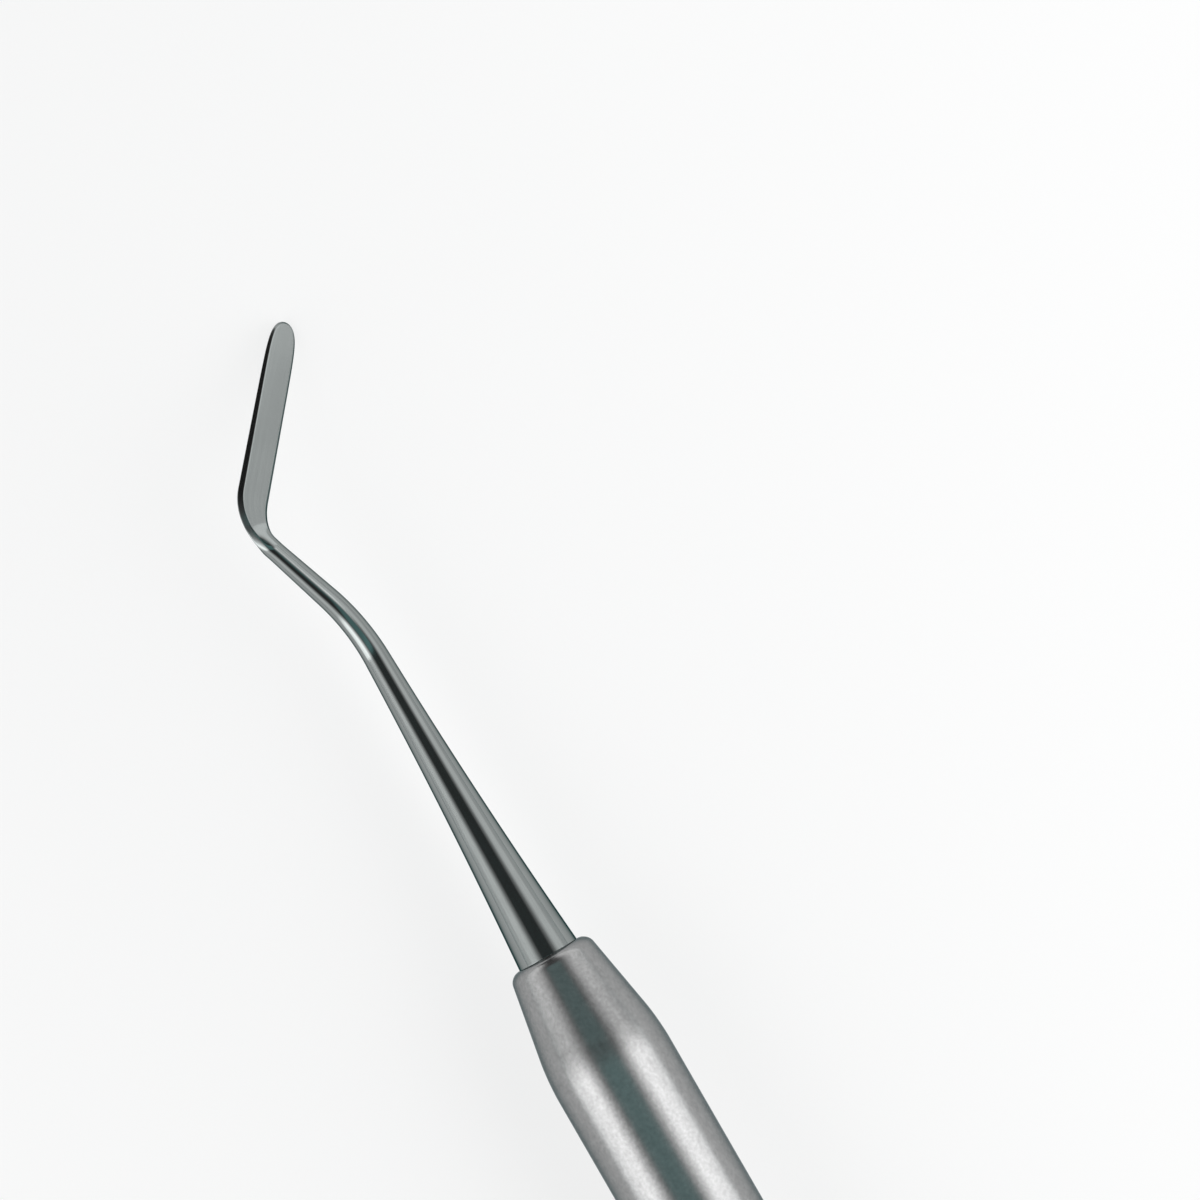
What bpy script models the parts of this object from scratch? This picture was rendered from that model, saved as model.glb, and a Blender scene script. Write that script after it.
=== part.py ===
"""A double-ended dental carver, lying on a table as it comes to rest.

A hollow satin handle is drawn down to a tapered nose at each end. Each nose holds the tang of a
polished working end: a flared round shank, a slim angled neck and, past the heel, a flat bevelled
blade with a rounded tip.

Metres, +Z up. +X runs along the handle's axis, and the origin is the tool's balance point, on that
axis in the middle of the handle. Both blades point to the -Y side and down, so that their tips
touch the table that the handle lies on.
"""

import math

import bmesh
import bpy
from mathutils import Vector

MM = 0.001

# Handle: one tube, turned and drawn down to a nose at each end
HANDLE_DIAMETER = 8.0 * MM
HANDLE_LENGTH = 90.0 * MM
TUBE_WALL = 0.8 * MM
NOSE_LENGTH = 6.9 * MM
MOUTH_WALL = 0.47 * MM
SHOULDER_RADIUS = 15.0 * MM
LIP_RADIUS = 0.8 * MM
SOCKET_LENGTH = 6.0 * MM
SOCKET_RUNOUT = 2.0 * MM

# Fit of a tang in its socket, on the radius
FIT_GAP = 0.25 * MM

# Shank and neck: round, measured along the middle line from the plane of the handle's mouth
ROOT_DIAMETER = 4.10 * MM
BEND_DIAMETER = 1.54 * MM
HEEL_DIAMETER = 1.22 * MM
FLARE_POWER = 1.95
TANG_CHAMFER = 0.3 * MM

# Bends: corners of the middle line, all in one plane that holds the handle's axis
BEND_DISTANCE = 23.8 * MM
NECK_LENGTH = 9.35 * MM
BLADE_LENGTH = 14.25 * MM
NECK_ANGLE = math.radians(22.0)
BLADE_ANGLE = math.radians(45.7)
BEND_RADIUS = 13.0 * MM
HEEL_RADIUS = 3.25 * MM

# Blade: flat faces on both sides, bevelled all round to one edge, with an oval tip
BLADE_HEEL_WIDTH = 2.28 * MM
BLADE_TIP_WIDTH = 2.03 * MM
BLADE_HEEL_THICKNESS = 0.63 * MM
BLADE_TIP_THICKNESS = 0.35 * MM
BEVEL_ANGLE = math.radians(45.0)
TIP_ROUNDING = 0.8 * MM
FACE_RUNOUT = 1.9 * MM
WIDTH_RUNOUT = 4.4 * MM
WIDTH_LEAD = 0.5 * MM

# Facets and the working of the mesh
HANDLE_SIDES = 32
FACE_STEPS = 8
BEVEL_STEPS = 2
ARC_STEPS = 6
FLARE_STEPS = 9
BEND_STEPS = 5
NECK_STEPS = 2
HEEL_STEPS = 12
BLADE_STEPS = 4
TIP_STEPS = 9
TIP_TURN = math.radians(77.0)
SHARP_EDGE = math.radians(20.0)
MERGE_DISTANCE = 0.01 * MM
SHOULDER_SHARE = 0.4
ROLL_STEPS = 40

HANDLE_RADIUS = HANDLE_DIAMETER / 2
SOCKET_RADIUS = ROOT_DIAMETER / 2 + FIT_GAP
MOUTH_RADIUS = SOCKET_RADIUS + MOUTH_WALL
NOSE_TAPER = math.atan2(HANDLE_RADIUS - MOUTH_RADIUS, NOSE_LENGTH)
RING_SIDES = 2 * FACE_STEPS + 4 * BEVEL_STEPS


def clear_scene():
    """Removes every object of the open scene."""
    for item in list(bpy.data.objects):
        bpy.data.objects.remove(item, do_unlink=True)


def steel(name, color, roughness):
    """Returns a metallic Principled material."""
    material = bpy.data.materials.new(name)
    material.use_nodes = True
    shader = material.node_tree.nodes["Principled BSDF"]
    shader.inputs["Base Color"].default_value = (*color, 1.0)
    shader.inputs["Metallic"].default_value = 1.0
    shader.inputs["Roughness"].default_value = roughness
    return material


def arc(centre, radius, start, end, steps):
    """Points of an arc in a plane, from the angle start to the angle end, both ends included."""
    angles = [start + (end - start) * step / steps for step in range(steps + 1)]
    return [(centre[0] + radius * math.cos(a), centre[1] + radius * math.sin(a)) for a in angles]


def nose_profile():
    """The outer half profile as (radius, distance behind the mouth), from the mouth to the tube."""
    lip_centre_radius = MOUTH_RADIUS + LIP_RADIUS * (math.tan(NOSE_TAPER) - 1 / math.cos(NOSE_TAPER))
    mouth_step = max(SOCKET_RADIUS - lip_centre_radius, 0.0)
    lip_start = math.asin(min(mouth_step / LIP_RADIUS, 1.0)) - math.pi / 2
    lip = arc((lip_centre_radius, LIP_RADIUS), LIP_RADIUS, lip_start, -NOSE_TAPER, ARC_STEPS)
    # The shoulder's rounding takes at most this share of the nose
    tangent = min(SHOULDER_RADIUS * math.tan(NOSE_TAPER / 2), SHOULDER_SHARE * NOSE_LENGTH)
    shoulder_radius = tangent / math.tan(NOSE_TAPER / 2)
    shoulder_centre = (HANDLE_RADIUS - shoulder_radius, NOSE_LENGTH + tangent)
    shoulder = arc(shoulder_centre, shoulder_radius, -NOSE_TAPER, 0.0, ARC_STEPS)
    mouth_edge = [(SOCKET_RADIUS, 0.0)] if mouth_step == 0.0 else []
    return mouth_edge + lip + shoulder


def socket_profile():
    """The inner half profile as (radius, distance behind the mouth), from the socket to the hollow."""
    hollow_radius = HANDLE_RADIUS - TUBE_WALL
    return [(SOCKET_RADIUS, SOCKET_LENGTH), (hollow_radius, SOCKET_LENGTH + SOCKET_RUNOUT)]


def make_handle(collection, material):
    """The hollow handle: a closed profile turned about the handle's axis."""
    middle = HANDLE_LENGTH / 2
    outer = nose_profile()
    inner = socket_profile()
    profile = [(radius, middle - depth) for radius, depth in outer]
    profile += [(radius, depth - middle) for radius, depth in reversed(outer)]
    profile += [(radius, depth - middle) for radius, depth in inner]
    profile += [(radius, middle - depth) for radius, depth in reversed(inner)]
    count = len(profile)
    mesh = bpy.data.meshes.new("handle")
    points = [(radius, 0.0, height) for radius, height in profile]
    mesh.from_pydata(points, [(i, (i + 1) % count) for i in range(count)], [])
    handle = bpy.data.objects.new("handle", mesh)
    collection.objects.link(handle)
    turning = handle.modifiers.new("turning", "SCREW")
    turning.axis = "Z"
    turning.steps = HANDLE_SIDES
    turning.render_steps = HANDLE_SIDES
    turning.use_merge_vertices = True
    turning.merge_threshold = MERGE_DISTANCE
    turning.use_smooth_shade = True
    handle.data.materials.append(material)
    # The turning axis is laid along X, with one flat facet facing the table
    handle.rotation_mode = "ZYX"
    handle.rotation_euler = (0.0, math.pi / 2, math.pi / HANDLE_SIDES)


def bend_setback(radius, angle):
    """How far before its corner a bend of this radius starts."""
    return radius * math.tan(angle / 2)


BEND_SETBACK = bend_setback(BEND_RADIUS, NECK_ANGLE)
HEEL_SETBACK = bend_setback(HEEL_RADIUS, NECK_ANGLE + BLADE_ANGLE)
BEND_ARC = BEND_RADIUS * NECK_ANGLE
HEEL_ARC = HEEL_RADIUS * (NECK_ANGLE + BLADE_ANGLE)
BEND_START = BEND_DISTANCE - BEND_SETBACK
NECK_START = BEND_START + BEND_ARC
HEEL_START = NECK_START + NECK_LENGTH - BEND_SETBACK - HEEL_SETBACK
BLADE_START = HEEL_START + HEEL_ARC
BLADE_END = BLADE_START + BLADE_LENGTH - HEEL_SETBACK


def middle_line(distance):
    """Where the middle line is at a distance from the mouth, and its heading off the handle's axis.

    The line runs straight, bends to the neck's angle, runs straight, turns back at the heel and
    runs straight to the tip. The place has its first value along the axis and its second across it.
    """
    stretches = [
        (BEND_START, 0.0),
        (BEND_ARC, NECK_ANGLE),
        (HEEL_START - NECK_START, 0.0),
        (HEEL_ARC, -NECK_ANGLE - BLADE_ANGLE),
        (BLADE_END - BLADE_START, 0.0),
    ]
    place = Vector((0.0, 0.0))
    heading = 0.0
    left = distance
    for length, turn in stretches:
        run = min(left, length)
        half_turn = turn * run / length / 2 if turn else 0.0
        chord = run * math.sin(half_turn) / half_turn if half_turn else run
        place += Vector((math.cos(heading + half_turn), math.sin(heading + half_turn))) * chord
        heading += 2 * half_turn
        left -= run
        if left <= 0.0:
            break
    return place, heading


def ease(start, end, distance):
    """Rises smoothly from 0 at start to 1 at end."""
    share = min(max((distance - start) / (end - start), 0.0), 1.0)
    return share * share * (3 - 2 * share)


def round_radius(distance):
    """Radius of the round shank and neck: an even taper, and a concave flare from bend to root."""
    bend = BEND_DIAMETER / 2
    heel = HEEL_DIAMETER / 2
    taper = (bend - heel) / (HEEL_START - BEND_DISTANCE)
    flare = ROOT_DIAMETER / 2 - heel - taper * HEEL_START
    along = min(max(distance, 0.0), HEEL_START)
    left_to_bend = max(1 - along / BEND_DISTANCE, 0.0)
    return heel + taper * (HEEL_START - along) + flare * left_to_bend**FLARE_POWER


def blade_size(distance):
    """Half width and half thickness of the blade at a distance along the middle line."""
    share = (distance - HEEL_START) / (BLADE_END - HEEL_START)
    width = BLADE_HEEL_WIDTH + (BLADE_TIP_WIDTH - BLADE_HEEL_WIDTH) * share
    thickness = BLADE_HEEL_THICKNESS + (BLADE_TIP_THICKNESS - BLADE_HEEL_THICKNESS) * share
    return width / 2, thickness / 2


def upper_side(width, thickness, left):
    """Upper half of the bevelled section, from its right edge over the flat face to its left edge.

    A point is (across, through, back). Towards the tip, with left the length that is left to its
    end, the outline closes in an oval, and the face ends one bevel's width behind it: back is how
    far a point lies behind the section's own place.
    """
    inset = thickness / math.tan(BEVEL_ANGLE)
    closing = math.exp(-left / TIP_ROUNDING)
    oval = math.sqrt(1 - closing)
    edge = Vector((width * oval, 0.0, 0.0))
    corner = Vector(((width - inset) * oval, thickness, inset * closing))
    right_bevel = [edge.lerp(corner, step / BEVEL_STEPS) for step in range(BEVEL_STEPS)]
    left_bevel = [Vector((-point.x, point.y, point.z)) for point in reversed(right_bevel)]
    far_corner = Vector((-corner.x, corner.y, corner.z))
    face = [corner.lerp(far_corner, step / FACE_STEPS) for step in range(FACE_STEPS + 1)]
    return right_bevel + face + left_bevel


def section(distance):
    """The closed section at a distance along the middle line, as points (across, through, back)."""
    radius = round_radius(distance)
    if distance < TANG_CHAMFER / 2 - SOCKET_LENGTH:
        radius -= TANG_CHAMFER
    width, thickness = blade_size(distance)
    flat = ease(HEEL_START, HEEL_START + FACE_RUNOUT, distance)
    wide = ease(HEEL_START - WIDTH_LEAD, HEEL_START - WIDTH_LEAD + WIDTH_RUNOUT, distance)
    width = radius + (width - radius) * wide
    thickness = radius + (thickness - radius) * flat
    top = upper_side(width, thickness, BLADE_END - distance)
    below = [Vector((point.x, -point.y, point.z)) for point in reversed(top[1:-1])]
    points = []
    for index, bevelled in enumerate(top + below):
        turn = 2 * math.pi * index / RING_SIDES
        oval = Vector((width * math.cos(turn), thickness * math.sin(turn), 0.0))
        points.append(oval.lerp(bevelled, flat))
    return points


def spread(start, end, steps):
    """Evenly spaced distances from start up to, but without, end."""
    return [start + (end - start) * step / steps for step in range(steps)]


def station_distances():
    """Distances along the middle line at which the working end has a section."""
    # On the oval tip, a section is as wide as the sine of its angle, and the last one isn't closed
    angles = [TIP_TURN * (1 - step / (TIP_STEPS + 0.5)) for step in range(TIP_STEPS + 1)]
    tip = [BLADE_END + 2 * TIP_ROUNDING * math.log(math.cos(angle)) for angle in angles]
    stations = [-SOCKET_LENGTH, TANG_CHAMFER - SOCKET_LENGTH]
    stations += spread(0.0, BEND_START, FLARE_STEPS)
    stations += spread(BEND_START, NECK_START, BEND_STEPS)
    stations += spread(NECK_START, HEEL_START, NECK_STEPS)
    stations += spread(HEEL_START, BLADE_START, HEEL_STEPS)
    stations += spread(BLADE_START, tip[0], BLADE_STEPS)
    return stations + tip


def make_working_end_mesh(material):
    """Tang, shank, neck and blade of one forging, lofted along the middle line.

    The mesh lies in its own frame: X along the handle's axis away from the mouth, Y across it in
    the plane of the bends, towards the neck's side, and Z through the blade's thickness.
    """
    shape = bmesh.new()
    rings = []
    for distance in station_distances():
        place, heading = middle_line(distance)
        ahead = Vector((math.cos(heading), math.sin(heading)))
        across = Vector((math.sin(heading), -math.cos(heading)))
        ring = []
        for side, through, back in section(distance):
            spot = place + across * side - ahead * back
            ring.append(shape.verts.new((spot.x, spot.y, through)))
        rings.append(ring)
    for near, far in zip(rings, rings[1:]):
        for index in range(RING_SIDES):
            after = (index + 1) % RING_SIDES
            shape.faces.new((near[index], near[after], far[after], far[index]))
    half = RING_SIDES // 2
    last = rings[-1]
    shape.faces.new(rings[0])
    shape.faces.new(last[: half + 1])
    shape.faces.new(last[half:] + last[:1])
    bmesh.ops.recalc_face_normals(shape, faces=shape.faces)
    mesh = bpy.data.meshes.new("working_end")
    shape.to_mesh(mesh)
    shape.free()
    mesh.materials.append(material)
    mesh.shade_smooth()
    mesh.set_sharp_from_angle(angle=SHARP_EDGE)
    return mesh


def resting_roll(mesh):
    """How far the tool rolls about its axis, blades down, until a tip touches the table."""
    low, high = 0.0, math.pi / 2
    for _ in range(ROLL_STEPS):
        roll = (low + high) / 2
        lowest = min(v.co.y * math.sin(roll) + v.co.z * math.cos(roll) for v in mesh.vertices)
        if lowest > -HANDLE_RADIUS:
            low = roll
        else:
            high = roll
    return low


def make_working_ends(collection, material):
    """Both working ends, alike, in the plane of the bends rolled until the tips touch the table."""
    mesh = make_working_end_mesh(material)
    bend_plane = bpy.data.objects.new("bend_plane", None)
    bend_plane.rotation_euler = (resting_roll(mesh), 0.0, 0.0)
    collection.objects.link(bend_plane)
    for name, side in (("near_working_end", 1), ("far_working_end", -1)):
        working_end = bpy.data.objects.new(name, mesh)
        collection.objects.link(working_end)
        working_end.parent = bend_plane
        working_end.location = (side * HANDLE_LENGTH / 2, 0.0, 0.0)
        working_end.rotation_euler = (0.0, 0.0 if side > 0 else math.pi, 0.0)


def main():
    """Builds the carver in a collection of its own."""
    clear_scene()
    collection = bpy.data.collections.new("dental_carver")
    bpy.context.scene.collection.children.link(collection)
    satin_steel = steel("satin_steel", (0.62, 0.63, 0.63), 0.42)
    polished_steel = steel("polished_steel", (0.58, 0.59, 0.59), 0.08)
    make_handle(collection, satin_steel)
    make_working_ends(collection, polished_steel)


main()
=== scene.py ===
"""A double-ended dental carver on a white table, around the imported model.

The handle is a satin, bead-blasted tube that is drawn down to a rounded mouth at both ends. Each
mouth holds a polished forging: a concave flared shank, a slim neck set at an angle, and a flat
bevelled blade with an oval tip. Metres, with +X along the handle towards the near end and the
table below the handle's axis.
"""

import logging
import math
from dataclasses import dataclass, field
from enum import Enum

import bmesh
import bpy
from mathutils import Matrix, Vector


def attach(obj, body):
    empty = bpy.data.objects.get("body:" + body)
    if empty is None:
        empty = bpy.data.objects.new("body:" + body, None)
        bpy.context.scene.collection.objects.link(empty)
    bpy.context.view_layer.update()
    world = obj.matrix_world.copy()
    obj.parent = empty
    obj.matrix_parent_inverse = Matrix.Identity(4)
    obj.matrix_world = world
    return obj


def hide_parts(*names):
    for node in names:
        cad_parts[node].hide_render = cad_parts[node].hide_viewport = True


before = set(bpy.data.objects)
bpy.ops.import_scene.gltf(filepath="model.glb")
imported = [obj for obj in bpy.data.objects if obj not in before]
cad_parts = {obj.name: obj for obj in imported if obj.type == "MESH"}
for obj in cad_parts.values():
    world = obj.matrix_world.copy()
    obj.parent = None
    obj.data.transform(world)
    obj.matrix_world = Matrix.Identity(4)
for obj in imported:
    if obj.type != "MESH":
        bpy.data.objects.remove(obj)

LOG = logging.getLogger("dental_carver")
Color = tuple[float, float, float]
Stops = tuple[tuple[float, float], ...]
MM = 0.001
WHITE = (1.0, 1.0, 1.0)
NOISE_MIDDLE = 0.5
ROOT_BODY = "root"


class End(Enum):
    """The two ends of the tool, by the side of the handle that each is on."""

    NEAR = 1
    FAR = -1


class Side(Enum):
    """The sides of the tool that lamps hang on, by the sign of Y there."""

    RIGHT = -1
    LEFT = 1


class Layer(Enum):
    """What a forging's points hold for its finish, by the name of the attribute."""

    STRAIGHT = "straight_place"
    GROUND = "ground"


class Rays(Enum):
    """Kinds of ray that show the white of the table, by their outputs on the Light Path node."""

    CAMERA = "Is Camera Ray"
    GLOSSY = "Is Glossy Ray"
    TRANSMISSION = "Is Transmission Ray"


class Value:
    """One output of a node. Arithmetic on it adds Math nodes."""

    def __init__(self, graph: "Graph", socket: bpy.types.NodeSocket) -> None:
        """Keeps the socket and the graph that it is in."""
        self.graph = graph
        self.socket = socket

    def _math(self, operation: str, *operands: "float | Value") -> "Value":
        """Adds a Math node on these operands and returns its value."""
        sockets = dict(enumerate(operands))
        return self.graph.node("ShaderNodeMath", {"operation": operation}, sockets)["Value"]

    def __add__(self, other: "float | Value") -> "Value":
        """Returns self + other."""
        return self._math("ADD", self, other)

    def __radd__(self, other: float) -> "Value":
        """Returns other + self."""
        return self._math("ADD", other, self)

    def __sub__(self, other: "float | Value") -> "Value":
        """Returns self - other."""
        return self._math("SUBTRACT", self, other)

    def __rsub__(self, other: float) -> "Value":
        """Returns other - self."""
        return self._math("SUBTRACT", other, self)

    def __mul__(self, other: "float | Value") -> "Value":
        """Returns self * other."""
        return self._math("MULTIPLY", self, other)

    def __rmul__(self, other: float) -> "Value":
        """Returns other * self."""
        return self._math("MULTIPLY", other, self)

    def __abs__(self) -> "Value":
        """Returns self without its sign."""
        return self._math("ABSOLUTE", self)

    def angle_over(self, other: "float | Value") -> "Value":
        """Returns the angle whose tangent is self / other, in radians."""
        return self._math("ARCTAN2", self, other)


class Outputs:
    """The outputs of one node, by name."""

    def __init__(self, graph: "Graph", node: bpy.types.Node) -> None:
        """Keeps the node and its graph."""
        self.graph = graph
        self.node = node

    def __getitem__(self, name: str) -> Value:
        """Returns the output of that name or identifier."""
        return Value(self.graph, Graph.socket(self.node.outputs, name))


class Graph:
    """The nodes of one material, lamp or world."""

    def __init__(self, tree: bpy.types.NodeTree) -> None:
        """Starts from an empty tree."""
        self.tree = tree
        tree.nodes.clear()

    @staticmethod
    def socket(sockets: bpy.types.bpy_prop_collection, key: str | int) -> bpy.types.NodeSocket:
        """Finds a socket by its place, its identifier or its name.

        Args:
            sockets: A node's inputs or outputs.
            key: The place, identifier or name.

        Returns:
            The socket.
        """
        if isinstance(key, int):
            return sockets[key]
        by_identifier = {socket.identifier: socket for socket in sockets}
        return by_identifier.get(key) or sockets[key]

    @staticmethod
    def _set_stops(
        elements: bpy.types.ColorRampElements, stops: list[tuple[float, Color]]
    ) -> None:
        """Gives a ramp its stops.

        Args:
            elements: The ramp's own stops, of which there may be too few.
            stops: The (position, colour) pairs that it gets.
        """
        while len(elements) < len(stops):
            elements.new(1.0)
        for element, (position, color) in zip(elements, stops):
            element.position = position
            element.color = (*color, 1.0)

    def node(
        self, kind: str, settings: dict | None = None, sockets: dict | None = None
    ) -> Outputs:
        """Adds any node.

        Args:
            kind: The node's type.
            settings: Its properties, set first. "stops" are a ramp's (position, colour) pairs.
            sockets: The numbers, colours or values of its inputs.

        Returns:
            The node's outputs.
        """
        made = self.tree.nodes.new(kind)
        for name, setting in (settings or {}).items():
            if name == "stops":
                self._set_stops(made.color_ramp.elements, setting)
            else:
                setattr(made, name, setting)
        for key, given in (sockets or {}).items():
            target = self.socket(made.inputs, key)
            if isinstance(given, Value):
                self.tree.links.new(given.socket, target)
            else:
                target.default_value = given
        return Outputs(self, made)

    def mixed_color(
        self, factor: "float | Value", first: "Color | Value", second: "Color | Value"
    ) -> Value:
        """Mixes two colours.

        Args:
            factor: How much of the second colour there is, from 0 to 1.
            first: The colour at 0.
            second: The colour at 1.

        Returns:
            The mixed colour.
        """
        sockets = {"Factor_Float": factor}
        for key, given in (("A_Color", first), ("B_Color", second)):
            sockets[key] = given if isinstance(given, Value) else (*given, 1.0)
        return self.node("ShaderNodeMix", {"data_type": "RGBA"}, sockets)["Result_Color"]

    def product(self, first: Value, second: Value) -> Value:
        """Multiplies two colours.

        Args:
            first: One colour.
            second: The other.

        Returns:
            Their product.
        """
        sockets = {"Factor_Float": 1.0, "A_Color": first, "B_Color": second}
        settings = {"data_type": "RGBA", "blend_type": "MULTIPLY"}
        return self.node("ShaderNodeMix", settings, sockets)["Result_Color"]

    def noise(self, place: Value, scale: float, layers: float = 2.0) -> Value:
        """Returns a noise around its middle, with that many grains to the metre and finer layers."""
        sockets = {"Vector": place, "Scale": scale, "Detail": layers}
        return self.node("ShaderNodeTexNoise", None, sockets)["Fac"]

    def levels(self, along: Value, stops: Stops) -> Value:
        """Makes a grey that follows (position, level) stops.

        Args:
            along: The value that runs along the stops.
            stops: Rising positions, each with its level from 0 to 1.

        Returns:
            The grey as a colour.
        """
        first, last = stops[0][0], stops[-1][0]
        share = (along - first) * (1.0 / (last - first))
        scaled = [((position - first) / (last - first), (level,) * 3) for position, level in stops]
        return self.node("ShaderNodeValToRGB", {"stops": scaled}, {0: share})["Color"]

    def seen_share(self, share: Value) -> Value:
        """Keeps a share for the rays that show a background.

        Args:
            share: The share, from 0 to 1.

        Returns:
            The share on those rays, and 0 on the rays that carry the background's light.
        """
        path = self.node("ShaderNodeLightPath")
        camera, glossy, transmission = [path[rays.value] for rays in Rays]
        return (camera + glossy + transmission) * share

    def surface(self, looks: dict, relief: Value, depth: float) -> None:
        """Ends a material with a Principled shader over a relief.

        Args:
            looks: The shader's numbers, colours and values.
            relief: The height at each point, from 0 to 1.
            depth: What a height of 1 stands for, in metres.
        """
        sockets = {"Strength": 1.0, "Distance": depth, "Height": relief}
        bump = self.node("ShaderNodeBump", None, sockets)
        shader = self.node("ShaderNodeBsdfPrincipled", None, {**looks, "Normal": bump["Normal"]})
        self.node("ShaderNodeOutputMaterial", None, {"Surface": shader["BSDF"]})


def new_material(name: str) -> tuple[bpy.types.Material, Graph]:
    """Starts a material.

    Args:
        name: The material's name.

    Returns:
        The material and its empty graph.
    """
    material = bpy.data.materials.new(name)
    material.use_nodes = True
    return material, Graph(material.node_tree)


@dataclass(frozen=True)
class SatinSteel:
    """Bead-blasted stainless steel: an even, fine grain that blurs what it mirrors."""

    name: str = "satin_steel"
    color: Color = (0.415, 0.415, 0.415)
    shade: Color = (0.20, 0.20, 0.20)
    edge: Color = (0.22, 0.28, 0.29)
    metallic: float = 0.90
    roughness: float = 0.22
    roughness_spread: float = 0.06
    grain_per_metre: float = 4400.0
    grain_layers: float = 3.0
    grain_share: float = 0.65
    grain_height: float = 0.0019 * MM
    cloud_per_metre: float = 1900.0
    cloud_share: float = 0.35

    def material(self) -> bpy.types.Material:
        """Makes the finish.

        Returns:
            The finish as a material.
        """
        material, graph = new_material(self.name)
        place = graph.node("ShaderNodeTexCoord")["Object"]
        grain = graph.noise(place, self.grain_per_metre, self.grain_layers)
        cloud = graph.noise(place, self.cloud_per_metre)
        mottle = grain * self.grain_share + cloud * self.cloud_share
        looks = {
            "Base Color": graph.mixed_color(mottle, self.shade, self.color),
            "Metallic": self.metallic,
            "Roughness": self.roughness + (cloud - NOISE_MIDDLE) * self.roughness_spread,
            "Specular Tint": (*self.edge, 1.0),
        }
        graph.surface(looks, grain, self.grain_height)
        return material


@dataclass(frozen=True)
class PolishedSteel:
    """Polished stainless steel, with faint lines along the tool and a finely ground blade."""

    name: str = "polished_steel"
    color: Color = (0.314, 0.334, 0.330)
    shade: Color = (0.246, 0.264, 0.261)
    edge: Color = (0.06, 0.12, 0.12)
    metallic: float = 1.0
    roughness: float = 0.10
    roughness_spread: float = 0.03
    ground_roughness: float = 0.08
    line_stretch: tuple[float, float, float] = (60.0, 9000.0, 9000.0)
    line_share: float = 0.5
    line_height: float = 0.0006 * MM
    cloud_per_metre: float = 500.0
    cloud_share: float = 0.5

    def material(self) -> bpy.types.Material:
        """Makes the finish, which reads where each point lies on the straightened forging.

        Returns:
            The finish as a material.
        """
        material, graph = new_material(self.name)
        attribute = "ShaderNodeAttribute"
        straight = graph.node(attribute, {"attribute_name": Layer.STRAIGHT.value})["Vector"]
        ground = graph.node(attribute, {"attribute_name": Layer.GROUND.value})["Fac"]
        factors = {0: straight, 1: self.line_stretch}
        stretched = graph.node("ShaderNodeVectorMath", {"operation": "MULTIPLY"}, factors)
        lines = graph.noise(stretched["Vector"], 1.0)
        cloud = graph.noise(straight, self.cloud_per_metre)
        mottle = lines * self.line_share + cloud * self.cloud_share
        rough = self.roughness + ground * self.ground_roughness
        looks = {
            "Base Color": graph.mixed_color(mottle, self.shade, self.color),
            "Metallic": self.metallic,
            "Roughness": rough + (lines - NOISE_MIDDLE) * self.roughness_spread,
            "Specular Tint": (*self.edge, 1.0),
        }
        graph.surface(looks, lines, self.line_height)
        return material


def finished(
    shape: bmesh.types.BMesh, name: str, material: bpy.types.Material
) -> bpy.types.Object:
    """Turns a finished shape into a smooth piece at the origin.

    Args:
        shape: The shape, in the place that it has on the tool. It is used up.
        name: The piece's name.
        material: Its finish.

    Returns:
        The piece.
    """
    mesh = bpy.data.meshes.new(name)
    shape.to_mesh(mesh)
    shape.free()
    mesh.materials.append(material)
    mesh.shade_smooth()
    piece = bpy.data.objects.new(name, mesh)
    bpy.context.scene.collection.objects.link(piece)
    return piece


def mount(piece: bpy.types.Object, node: str) -> None:
    """Puts a piece on the tool and logs it.

    Args:
        piece: The piece.
        node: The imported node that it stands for.
    """
    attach(piece, ROOT_BODY)
    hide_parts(node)
    LOG.info("%s stands for %s: %d faces", piece.name, node, len(piece.data.polygons))


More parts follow.
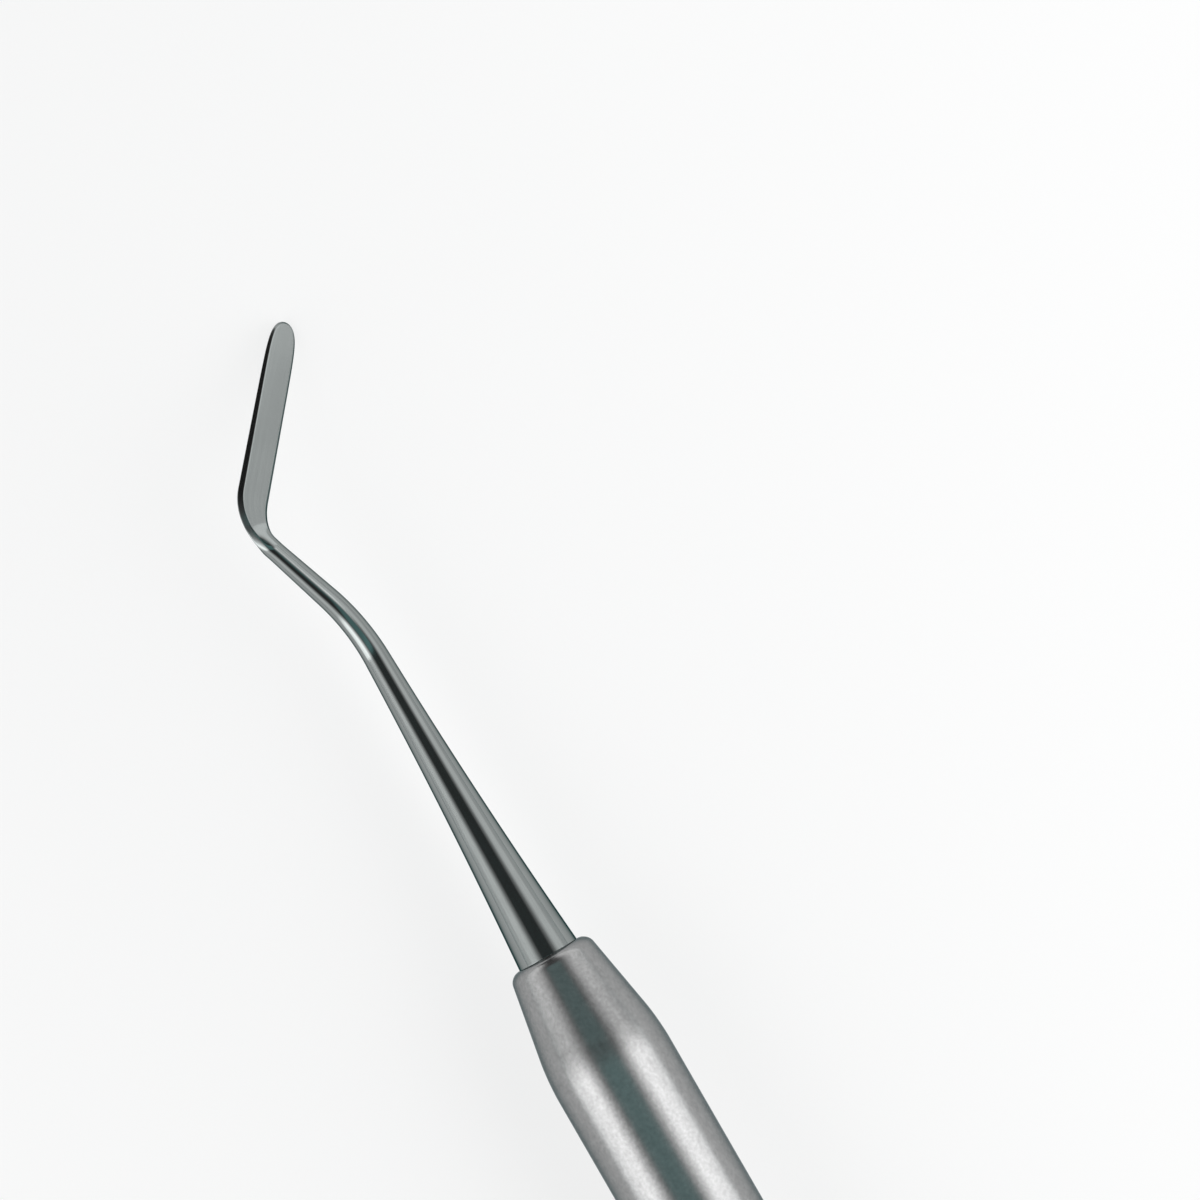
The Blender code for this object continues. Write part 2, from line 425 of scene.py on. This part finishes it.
@dataclass
class Handle:
    """The hollow handle: a tube with a tapered nose, a soft shoulder and a round lip at each end."""

    radius: float = 4.0 * MM
    length: float = 90.0 * MM
    hollow_radius: float = 3.2 * MM
    nose_length: float = 6.9 * MM
    mouth_radius: float = 2.77 * MM
    lip_radius: float = 0.8 * MM
    shoulder_radius: float = 15.0 * MM
    socket_radius: float = 2.09 * MM
    socket_length: float = 6.0 * MM
    socket_runout: float = 2.0 * MM
    sharp_angle: float = math.radians(50.0)
    sides: int = 192
    arc_segments: int = 12
    merge_distance: float = 0.001 * MM

    def profile(self, shape: bmesh.types.BMesh) -> None:
        """Draws the closed half section, with its lips and shoulders rounded.

        Args:
            shape: The empty shape that it is drawn in.
        """
        middle = self.length / 2
        taper = math.atan2(self.radius - self.mouth_radius, self.nose_length)
        lip_setback = self.lip_radius * math.tan((math.pi / 2 - taper) / 2)
        shoulder_setback = self.shoulder_radius * math.tan(taper / 2)
        # Each corner is a place along the axis, a radius and the reach of its rounding
        half = [
            (middle - self.socket_length - self.socket_runout, self.hollow_radius, 0.0),
            (middle - self.socket_length, self.socket_radius, 0.0),
            (middle, self.socket_radius, 0.0),
            (middle, self.mouth_radius, lip_setback),
            (middle - self.nose_length, self.radius, shoulder_setback),
        ]
        corners = half + [(-along, across, setback) for along, across, setback in reversed(half)]
        points = [shape.verts.new((along, 0.0, across)) for along, across, _ in corners]
        for point, after in zip(points, points[1:] + points[:1]):
            shape.edges.new((point, after))
        for point, (_, _, setback) in zip(points, corners):
            if setback:
                bmesh.ops.bevel(
                    shape,
                    geom=[point],
                    offset=setback,
                    offset_type="OFFSET",
                    segments=self.arc_segments,
                    profile=0.5,
                    affect="VERTICES",
                    material=-1,
                )

    def build(self, material: bpy.types.Material) -> bpy.types.Object:
        """Turns the section about the handle's axis.

        Args:
            material: The handle's finish.

        Returns:
            The piece.
        """
        shape = bmesh.new()
        self.profile(shape)
        bmesh.ops.spin(
            shape,
            geom=shape.verts[:] + shape.edges[:],
            cent=(0.0, 0.0, 0.0),
            axis=(1.0, 0.0, 0.0),
            angle=2 * math.pi,
            steps=self.sides,
            use_merge=True,
        )
        bmesh.ops.remove_doubles(shape, verts=shape.verts, dist=self.merge_distance)
        bmesh.ops.recalc_face_normals(shape, faces=shape.faces)
        piece = finished(shape, "satin_handle", material)
        piece.data.set_sharp_from_angle(angle=self.sharp_angle)
        return piece


@dataclass
class WorkingEnd:
    """One forging: tang, flared shank, slim neck, heel and bevelled blade, on a bent middle line.

    Distances run along the middle line from the plane of the handle's mouth. Both bends lie in one
    plane, and the blade's flats are square to that plane. Places round a section are hours, from 0
    at the blade's outer edge to ROUND, and its six corners lie at CORNERS. The edge break is in
    hours too, and both kinds of steps count in edge breaks: the points near a corner, and the
    places that a point is the mean of.
    """

    ROUND = 12.0
    BEVEL = 1.0
    CORNERS = (0.0, 1.0, 5.0, 6.0, 7.0, 11.0)
    CORNER_STEPS = (-2.0, -1.0, -0.5, 0.0, 0.5, 1.0, 2.0)
    BREAK_STEPS = (-0.8, -0.4, 0.0, 0.4, 0.8)

    tang_length: float = Handle.socket_length
    tang_chamfer: float = 0.3 * MM
    root_radius: float = 2.05 * MM
    bend_radius_of_steel: float = 0.77 * MM
    heel_radius_of_steel: float = 0.61 * MM
    flare_power: float = 1.95
    bend_distance: float = 23.8 * MM
    neck_length: float = 9.35 * MM
    blade_length: float = 14.25 * MM
    neck_angle: float = math.radians(22.0)
    blade_angle: float = math.radians(45.7)
    bend_radius: float = 13.0 * MM
    heel_radius: float = 3.25 * MM
    heel_half_width: float = 1.14 * MM
    tip_half_width: float = 1.015 * MM
    heel_half_thickness: float = 0.315 * MM
    tip_half_thickness: float = 0.175 * MM
    bevel_angle: float = math.radians(45.0)
    tip_rounding: float = 0.8 * MM
    tip_turn: float = math.radians(77.0)
    face_runout: float = 1.9 * MM
    width_runout: float = 4.4 * MM
    width_lead: float = 0.5 * MM
    foot_step: float = 0.02 * MM
    edge_break: float = 0.12
    points_an_hour: int = 7
    shank_rings: int = 56
    bend_rings: int = 24
    neck_rings: int = 16
    heel_rings: int = 64
    blade_rings: int = 32
    tip_rings: int = 36
    roll_halvings: int = 40
    merge_distance: float = 0.0005 * MM
    bend_start: float = field(init=False)
    neck_start: float = field(init=False)
    heel_start: float = field(init=False)
    blade_start: float = field(init=False)
    blade_end: float = field(init=False)

    def __post_init__(self) -> None:
        """Works out where each stretch of the middle line starts."""
        back_angle = self.neck_angle + self.blade_angle
        bend_setback = self.bend_radius * math.tan(self.neck_angle / 2)
        heel_setback = self.heel_radius * math.tan(back_angle / 2)
        self.bend_start = self.bend_distance - bend_setback
        self.neck_start = self.bend_start + self.bend_radius * self.neck_angle
        self.heel_start = self.neck_start + self.neck_length - bend_setback - heel_setback
        self.blade_start = self.heel_start + self.heel_radius * back_angle
        self.blade_end = self.blade_start + self.blade_length - heel_setback

    def middle_line(self, distance: float) -> tuple[Vector, float]:
        """Follows the middle line.

        Args:
            distance: How far along the line, from the mouth.

        Returns:
            The place along and across the handle's axis, and the heading off that axis.
        """
        stretches = (
            (self.bend_start, 0.0),
            (self.neck_start - self.bend_start, self.neck_angle),
            (self.heel_start - self.neck_start, 0.0),
            (self.blade_start - self.heel_start, -self.neck_angle - self.blade_angle),
            (self.blade_end - self.blade_start, 0.0),
        )
        place = Vector((0.0, 0.0))
        heading = 0.0
        left = distance
        for length, turn in stretches:
            run = min(left, length)
            half_turn = turn * run / length / 2
            chord = run * math.sin(half_turn) / half_turn if half_turn else run
            place += chord * Vector((math.cos(heading + half_turn), math.sin(heading + half_turn)))
            heading += 2 * half_turn
            left -= run
            if left <= 0.0:
                break
        return place, heading

    @staticmethod
    def ease(start: float, end: float, distance: float) -> float:
        """Rises smoothly from 0 at start to 1 at end."""
        share = min(max((distance - start) / (end - start), 0.0), 1.0)
        return share * share * (3.0 - 2.0 * share)

    def flatness(self, distance: float) -> float:
        """How far the round neck has become the flat blade, from 0 to 1."""
        return self.ease(self.heel_start, self.heel_start + self.face_runout, distance)

    def round_radius(self, distance: float) -> float:
        """Works out the round shank and neck: an even taper, and a concave flare at the root.

        Args:
            distance: How far along the middle line.

        Returns:
            The section's radius there.
        """
        narrowing = self.bend_radius_of_steel - self.heel_radius_of_steel
        taper = narrowing / (self.heel_start - self.bend_distance)
        flare = self.root_radius - self.heel_radius_of_steel - taper * self.heel_start
        along = min(max(distance, 0.0), self.heel_start)
        left_to_bend = max(1.0 - along / self.bend_distance, 0.0)
        even = self.heel_radius_of_steel + taper * (self.heel_start - along)
        return even + flare * left_to_bend**self.flare_power

    def half_sizes(self, distance: float) -> tuple[float, float]:
        """Works out how wide and thick the section is.

        Args:
            distance: How far along the middle line.

        Returns:
            Half the section's width and half its thickness.
        """
        radius = self.round_radius(distance)
        share = (distance - self.heel_start) / (self.blade_end - self.heel_start)
        widening = self.tip_half_width - self.heel_half_width
        thickening = self.tip_half_thickness - self.heel_half_thickness
        blade_width = self.heel_half_width + widening * share
        blade_thickness = self.heel_half_thickness + thickening * share
        lead = self.heel_start - self.width_lead
        wide = self.ease(lead, lead + self.width_runout, distance)
        flat = self.flatness(distance)
        return radius + (blade_width - radius) * wide, radius + (blade_thickness - radius) * flat

    def bevelled(self, hour: float, width: float, thickness: float, left: float) -> Vector:
        """Finds a point of the six-sided section, whose corners aren't broken.

        Args:
            hour: The place round the section.
            width: Half the section's width.
            thickness: Half its thickness.
            left: How much of the blade is left in front of it.

        Returns:
            The point as (across, through, back).
        """
        inset = thickness / math.tan(self.bevel_angle)
        closing = math.exp(-left / self.tip_rounding)
        oval = math.sqrt(max(1.0 - closing, 0.0))
        edge = Vector((width * oval, 0.0, 0.0))
        corner = Vector(((width - inset) * oval, thickness, inset * closing))
        half = self.ROUND / 2
        folded = abs((hour + half) % self.ROUND - half)
        quarter = min(folded, half - folded)
        if quarter < self.BEVEL:
            point = edge.lerp(corner, quarter / self.BEVEL)
        else:
            middle = Vector((0.0, corner.y, corner.z))
            point = corner.lerp(middle, (quarter - self.BEVEL) / (half / 2 - self.BEVEL))
        side = 1.0 if folded < half / 2 else -1.0
        upper = 1.0 if (hour % self.ROUND) < half else -1.0
        return Vector((point.x * side, point.y * upper, point.z))

    def section_point(self, hour: float, distance: float) -> Vector:
        """Finds a point of the section, which goes from round to bevelled through the heel.

        Args:
            hour: The place round the section.
            distance: How far along the middle line.

        Returns:
            The point as (across, through, back).
        """
        chamfered = distance < self.tang_chamfer / 2 - self.tang_length
        cut = self.tang_chamfer if chamfered else 0.0
        width, thickness = self.half_sizes(distance)
        turn = 2 * math.pi * hour / self.ROUND
        oval = Vector((math.cos(turn) * (width - cut), math.sin(turn) * (thickness - cut), 0.0))
        flat = self.flatness(distance)
        if flat == 0.0:
            return oval
        left = self.blade_end - distance
        nearby = [hour + self.edge_break * step for step in self.BREAK_STEPS]
        around = [self.bevelled(place, width, thickness, left) for place in nearby]
        broken = sum(around, Vector((0.0, 0.0, 0.0))) / len(around)
        return oval.lerp(broken, flat)

    def hours(self) -> list[float]:
        """Spaces the points of a section, close together where its corners are broken.

        Returns:
            The places of the points, in order round the section.
        """
        reach = self.CORNER_STEPS[-1] * self.edge_break
        places = []
        for corner, after in zip(self.CORNERS, self.CORNERS[1:] + (self.ROUND,)):
            places += [corner + self.edge_break * step for step in self.CORNER_STEPS]
            steps = self.points_an_hour * round(after - corner)
            room = after - corner - 2 * reach
            places += [corner + reach + room * step / steps for step in range(1, steps)]
        return places

    @staticmethod
    def spread(start: float, end: float, steps: int) -> list[float]:
        """Spaces distances evenly from start up to, but without, end."""
        return [start + (end - start) * step / steps for step in range(steps)]

    def distances(self) -> list[float]:
        """Spaces the sections, closest at the mouth and round the oval of the tip.

        Returns:
            Their distances along the middle line, from the tang's end to the tip.
        """
        turns = [
            self.tip_turn * (1.0 - step / self.tip_rings) for step in range(self.tip_rings + 1)
        ]
        tip = [self.blade_end + 2 * self.tip_rounding * math.log(math.cos(turn)) for turn in turns]
        places = [-self.tang_length, self.tang_chamfer - self.tang_length]
        places += [-self.foot_step, 0.0]
        places += self.spread(self.foot_step, self.bend_start, self.shank_rings)
        places += self.spread(self.bend_start, self.neck_start, self.bend_rings)
        places += self.spread(self.neck_start, self.heel_start, self.neck_rings)
        places += self.spread(self.heel_start, self.blade_start, self.heel_rings)
        places += self.spread(self.blade_start, tip[0], self.blade_rings)
        return places + tip

    def loft(self) -> bmesh.types.BMesh:
        """Draws the forging out from the tang, one ring after another.

        The shape lies in its own frame: X along the handle's axis from the mouth, Y across it
        towards the neck's side, and Z through the blade.

        Returns:
            The closed shape, with the two layers that its finish reads.
        """
        shape = bmesh.new()
        straight = shape.verts.layers.float_vector.new(Layer.STRAIGHT.value)
        ground = shape.verts.layers.float.new(Layer.GROUND.value)
        hours = self.hours()
        first = bmesh.ops.create_circle(shape, segments=len(hours), radius=self.root_radius)
        ring = first["verts"]
        edges = list({edge for point in ring for edge in point.link_edges})
        bmesh.ops.contextual_create(shape, geom=edges)
        for index, distance in enumerate(self.distances()):
            if index:
                drawn = bmesh.ops.extrude_edge_only(shape, edges=edges)["geom"]
                fresh = {item for item in drawn if isinstance(item, bmesh.types.BMVert)}
                lines = [item for item in drawn if isinstance(item, bmesh.types.BMEdge)]
                edges = [line for line in lines if fresh.issuperset(line.verts)]
                ring = [
                    next(point for line in old.link_edges for point in line.verts if point in fresh)
                    for old in ring
                ]
            place, heading = self.middle_line(distance)
            ahead = Vector((math.cos(heading), math.sin(heading)))
            across = Vector((math.sin(heading), -math.cos(heading)))
            flat = self.flatness(distance)
            for point, hour in zip(ring, hours):
                side, through, back = self.section_point(hour, distance)
                spot = place + across * side - ahead * back
                point.co = (spot.x, spot.y, through)
                point[straight] = (distance - back, side, through)
                point[ground] = flat
        bmesh.ops.remove_doubles(shape, verts=shape.verts, dist=self.merge_distance)
        bmesh.ops.recalc_face_normals(shape, faces=shape.faces)
        return shape

    def resting_roll(self, shape: bmesh.types.BMesh, handle_radius: float) -> float:
        """Rolls the tool, blades down, until a tip touches the table that the handle lies on.

        Args:
            shape: The forging, in its own frame.
            handle_radius: How high the handle's axis is above the table.

        Returns:
            The roll, in radians.
        """
        low, high = 0.0, math.pi / 2
        for _ in range(self.roll_halvings):
            roll = (low + high) / 2
            lowest = min(v.co.y * math.sin(roll) + v.co.z * math.cos(roll) for v in shape.verts)
            if lowest > -handle_radius:
                low = roll
            else:
                high = roll
        return low

    def build(self, end: End, handle: Handle, material: bpy.types.Material) -> bpy.types.Object:
        """Makes the forging in its place on the tool.

        Args:
            end: The end of the tool that it is for.
            handle: The handle that holds it.
            material: Its finish.

        Returns:
            The piece.
        """
        shape = self.loft()
        roll = self.resting_roll(shape, handle.radius)
        turn = 0.0 if end is End.NEAR else math.pi
        place = Matrix.Rotation(roll, 4, "X")
        place @= Matrix.Translation((end.value * handle.length / 2, 0.0, 0.0))
        place @= Matrix.Rotation(turn, 4, "Y")
        bmesh.ops.transform(shape, matrix=place, verts=shape.verts)
        return finished(shape, f"{end.name.lower()}_carver_end", material)


def turned(right: Vector, back: Vector) -> Matrix:
    """Returns the turn of a lamp or camera from its own X and Z axes, which are square."""
    return Matrix((right, back.cross(right), back)).transposed().to_4x4()


@dataclass(frozen=True)
class Softbox:
    """A strip lamp that lies along the tool's axis and faces it.

    Its brightness follows two lists of stops: one along X, in metres, and one round the tool's axis,
    in degrees from straight above towards its side. The brightest spot has the level 1 in both.
    """

    name: str
    side: Side
    along: Stops
    around: Stops
    level: float
    distance: float
    color: Color = WHITE

    def shine(self, lamp: bpy.types.Light) -> None:
        """Makes the lamp's brightness follow its stops.

        Args:
            lamp: The lamp.
        """
        lamp.use_nodes = True
        graph = Graph(lamp.node_tree)
        position = graph.node("ShaderNodeNewGeometry")["Position"]
        place = graph.node("ShaderNodeSeparateXYZ", None, {0: position})
        turn = (place["Y"] * self.side.value).angle_over(place["Z"])
        turns = tuple((math.radians(degrees), level) for degrees, level in self.around)
        glow = graph.product(graph.levels(place["X"], self.along), graph.levels(turn, turns))
        emission = graph.node("ShaderNodeEmission", None, {"Color": glow, "Strength": 1.0})
        graph.node("ShaderNodeOutputLight", None, {"Surface": emission["Emission"]})

    def build(self) -> None:
        """Hangs the lamp."""
        start, end = self.along[0][0], self.along[-1][0]
        inner, outer = math.radians(self.around[0][0]), math.radians(self.around[-1][0])
        middle = (inner + outer) / 2
        lamp = bpy.data.lights.new(self.name, "AREA")
        lamp.shape = "RECTANGLE"
        lamp.size = end - start
        lamp.size_y = 2 * self.distance * math.tan((outer - inner) / 2)
        lamp.energy = self.level * math.pi * lamp.size * lamp.size_y
        lamp.color = self.color
        self.shine(lamp)
        hung = bpy.data.objects.new(self.name, lamp)
        away = Vector((0.0, self.side.value * math.sin(middle), math.cos(middle)))
        length = Vector((1.0, 0.0, 0.0))
        centre = away * self.distance + length * (start + end) / 2
        hung.matrix_world = Matrix.Translation(centre) @ turned(length, away)
        hung.visible_camera = False
        bpy.context.scene.collection.objects.link(hung)
        LOG.info("lamp %s hung", self.name)


@dataclass
class Studio:
    """The white table, the surroundings, the lamps and the camera.

    The table is white paper. A share of what is seen of it, straight or mirrored, is pure white: the
    stops of that share run sideways from the tool, in metres. Each side has three strip lamps in a
    row. By the part of the tool that mirrors them from above, they are the handle's, the shank's
    and the nose's, and the last one is the farthest along X. The front colour of the surroundings
    comes in as the X of a direction runs through front_fade.
    """

    table_height: float = -Handle.radius
    table_size: float = 6.0
    table_color: Color = (0.90, 0.90, 0.90)
    white_share: Stops = ((0.02, 0.75), (0.15, 1.0))
    horizon_color: Color = (0.10, 0.14, 0.14)
    zenith_color: Color = (0.058, 0.060, 0.060)
    front_color: Color = (0.018, 0.016, 0.016)
    horizon_turn: float = math.radians(70.0)
    front_fade: tuple[float, float] = (0.5, 0.8)
    frame_width: float = 74.81 * MM
    frame_centre: tuple[float, float] = (62.54 * MM, -13.85 * MM)
    frame_right: tuple[float, float, float] = (-0.4995, -0.8663, 0.0)
    camera_height: float = 1.0
    sensor_width: float = 36.0
    nearest_seen: float = 0.05
    farthest_seen: float = 20.0
    right_distance: float = 0.15
    left_distance: float = 0.30
    handle_level: float = 3.0
    shank_level: float = 1.12
    front_level: float = 1.45
    fill_level: float = 0.36
    fill_color: Color = (0.46, 1.0, 1.0)
    right_handle: Stops = ((-0.60, 1.0), (0.0525, 1.0), (0.055, 0.0))
    right_shank: Stops = ((0.0525, 0.0), (0.055, 1.0), (0.088, 1.0), (0.091, 0.0))
    right_front: Stops = ((0.088, 0.0), (0.091, 1.0), (0.80, 1.0))
    left_handle: Stops = ((-0.80, 0.4), (-0.06, 0.4), (-0.03, 1.0), (0.074, 1.0), (0.078, 0.0))
    left_shank: Stops = ((0.074, 0.0), (0.078, 1.0), (0.112, 1.0), (0.120, 0.0))
    left_front: Stops = ((0.112, 0.0), (0.120, 1.0), (0.80, 1.0))
    right_around: Stops = (
        (18.0, 0.0), (22.0, 0.09), (28.0, 0.29), (34.0, 0.48), (41.0, 0.72), (49.0, 1.0),
        (60.0, 0.97), (70.0, 0.84), (80.0, 0.76), (86.0, 0.50), (90.0, 0.15),
    )
    left_around: Stops = (
        (20.0, 0.0), (24.0, 0.08), (30.0, 0.27), (36.0, 0.46), (42.0, 0.70), (50.0, 1.0),
        (60.0, 0.97), (70.0, 0.84), (80.0, 0.76), (86.0, 0.50), (90.0, 0.15),
    )
    shank_around: Stops = (
        (20.0, 0.0), (32.0, 0.35), (42.0, 0.9), (48.0, 1.0), (63.0, 1.0), (71.0, 0.70),
        (82.0, 0.66), (88.0, 0.5), (90.0, 0.3),
    )
    front_around: Stops = (
        (20.0, 0.0), (24.0, 0.08), (30.0, 0.27), (36.0, 0.46), (42.0, 0.66), (50.0, 0.88),
        (60.0, 1.0), (70.0, 1.0), (80.0, 0.95), (86.0, 0.60), (90.0, 0.25),
    )
    fill_along: Stops = (
        (-0.045, 0.0), (-0.015, 0.72), (0.040, 0.72), (0.052, 1.0), (0.066, 1.0), (0.072, 0.0),
        (0.108, 0.0), (0.114, 1.0), (0.135, 0.48), (0.19, 0.48), (0.22, 0.0),
    )
    fill_around: Stops = ((-24.0, 0.0), (-18.0, 1.0), (18.0, 1.0), (24.0, 0.0))

    def table(self) -> None:
        """Lays the plain white table."""
        material, graph = new_material("white_table")
        paper = graph.node("ShaderNodeBsdfDiffuse", None, {"Color": (*self.table_color, 1.0)})
        white = graph.node("ShaderNodeEmission", None, {"Color": (*WHITE, 1.0), "Strength": 1.0})
        place = graph.node("ShaderNodeTexCoord")["Object"]
        beside = abs(graph.node("ShaderNodeSeparateXYZ", None, {0: place})["Y"])
        share = graph.levels(beside, self.white_share)
        parts = {0: graph.seen_share(share), 1: paper["BSDF"], 2: white["Emission"]}
        seen = graph.node("ShaderNodeMixShader", None, parts)
        graph.node("ShaderNodeOutputMaterial", None, {"Surface": seen["Shader"]})
        shape = bmesh.new()
        bmesh.ops.create_grid(shape, x_segments=1, y_segments=1, size=self.table_size / 2)
        bmesh.ops.translate(shape, vec=(0.0, 0.0, self.table_height), verts=shape.verts)
        finished(shape, "table", material)

    def world(self) -> None:
        """Surrounds the tool: dark above, a dim grey to its sides, black beyond the near end."""
        world = bpy.data.worlds.new("studio")
        bpy.context.scene.world = world
        world.use_nodes = True
        graph = Graph(world.node_tree)
        direction = graph.node("ShaderNodeTexCoord")["Generated"]
        place = graph.node("ShaderNodeSeparateXYZ", None, {0: direction})
        turn = abs(place["Y"]).angle_over(place["Z"])
        share = graph.levels(turn, ((0.0, 0.0), (self.horizon_turn, 0.0), (math.pi / 2, 1.0)))
        fade_start, fade_end = self.front_fade
        ahead = graph.levels(place["X"], ((fade_start, 0.0), (fade_end, 1.0)))
        above = graph.mixed_color(ahead, self.zenith_color, self.front_color)
        color = graph.mixed_color(share, above, self.horizon_color)
        background = graph.node("ShaderNodeBackground", None, {"Color": color, "Strength": 1.0})
        graph.node("ShaderNodeOutputWorld", None, {"Surface": background["Background"]})

    def lamps(self) -> None:
        """Hangs three strips in a row on each side, and a faint one overhead."""
        distances = {Side.RIGHT: self.right_distance, Side.LEFT: self.left_distance}
        strips = (
            (Side.RIGHT, "handle", self.right_handle, self.right_around, self.handle_level),
            (Side.RIGHT, "shank", self.right_shank, self.shank_around, self.shank_level),
            (Side.RIGHT, "front", self.right_front, self.front_around, self.front_level),
            (Side.LEFT, "handle", self.left_handle, self.left_around, self.handle_level),
            (Side.LEFT, "shank", self.left_shank, self.shank_around, self.shank_level),
            (Side.LEFT, "front", self.left_front, self.front_around, self.front_level),
        )
        for side, stretch, along, around, level in strips:
            name = f"{side.name.lower()}_{stretch}_lamp"
            Softbox(name, side, along, around, level, distances[side]).build()
        Softbox(
            name="fill_lamp",
            side=Side.LEFT,
            along=self.fill_along,
            around=self.fill_around,
            level=self.fill_level,
            distance=self.left_distance,
            color=self.fill_color,
        ).build()

    def camera(self) -> None:
        """Sets up a long lens straight above the near end."""
        lens = bpy.data.cameras.new("camera")
        lens.sensor_width = self.sensor_width
        lens.lens = self.sensor_width * self.camera_height / self.frame_width
        lens.clip_start = self.nearest_seen
        lens.clip_end = self.farthest_seen
        camera = bpy.data.objects.new("camera", lens)
        place = Matrix.Translation((*self.frame_centre, self.camera_height))
        right, up = Vector(self.frame_right).normalized(), Vector((0.0, 0.0, 1.0))
        camera.matrix_world = place @ turned(right, up)
        bpy.context.scene.collection.objects.link(camera)
        bpy.context.scene.camera = camera

    def build(self) -> None:
        """Puts the studio up."""
        bpy.context.scene.view_settings.view_transform = "Standard"
        self.table()
        self.world()
        self.lamps()
        self.camera()
        LOG.info("studio is up")


def main() -> None:
    """Builds the carver's looks in order and reports each piece."""
    logging.basicConfig(level=logging.INFO, format="%(name)s: %(message)s")
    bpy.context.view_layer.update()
    Studio().build()
    handle = Handle()
    satin = SatinSteel()
    mount(handle.build(satin.material()), "handle")
    polished = PolishedSteel()
    polish = polished.material()
    for end in End:
        piece = WorkingEnd().build(end, handle, polish)
        mount(piece, f"{end.name.lower()}_working_end")


if __name__ == "__main__":
    main()
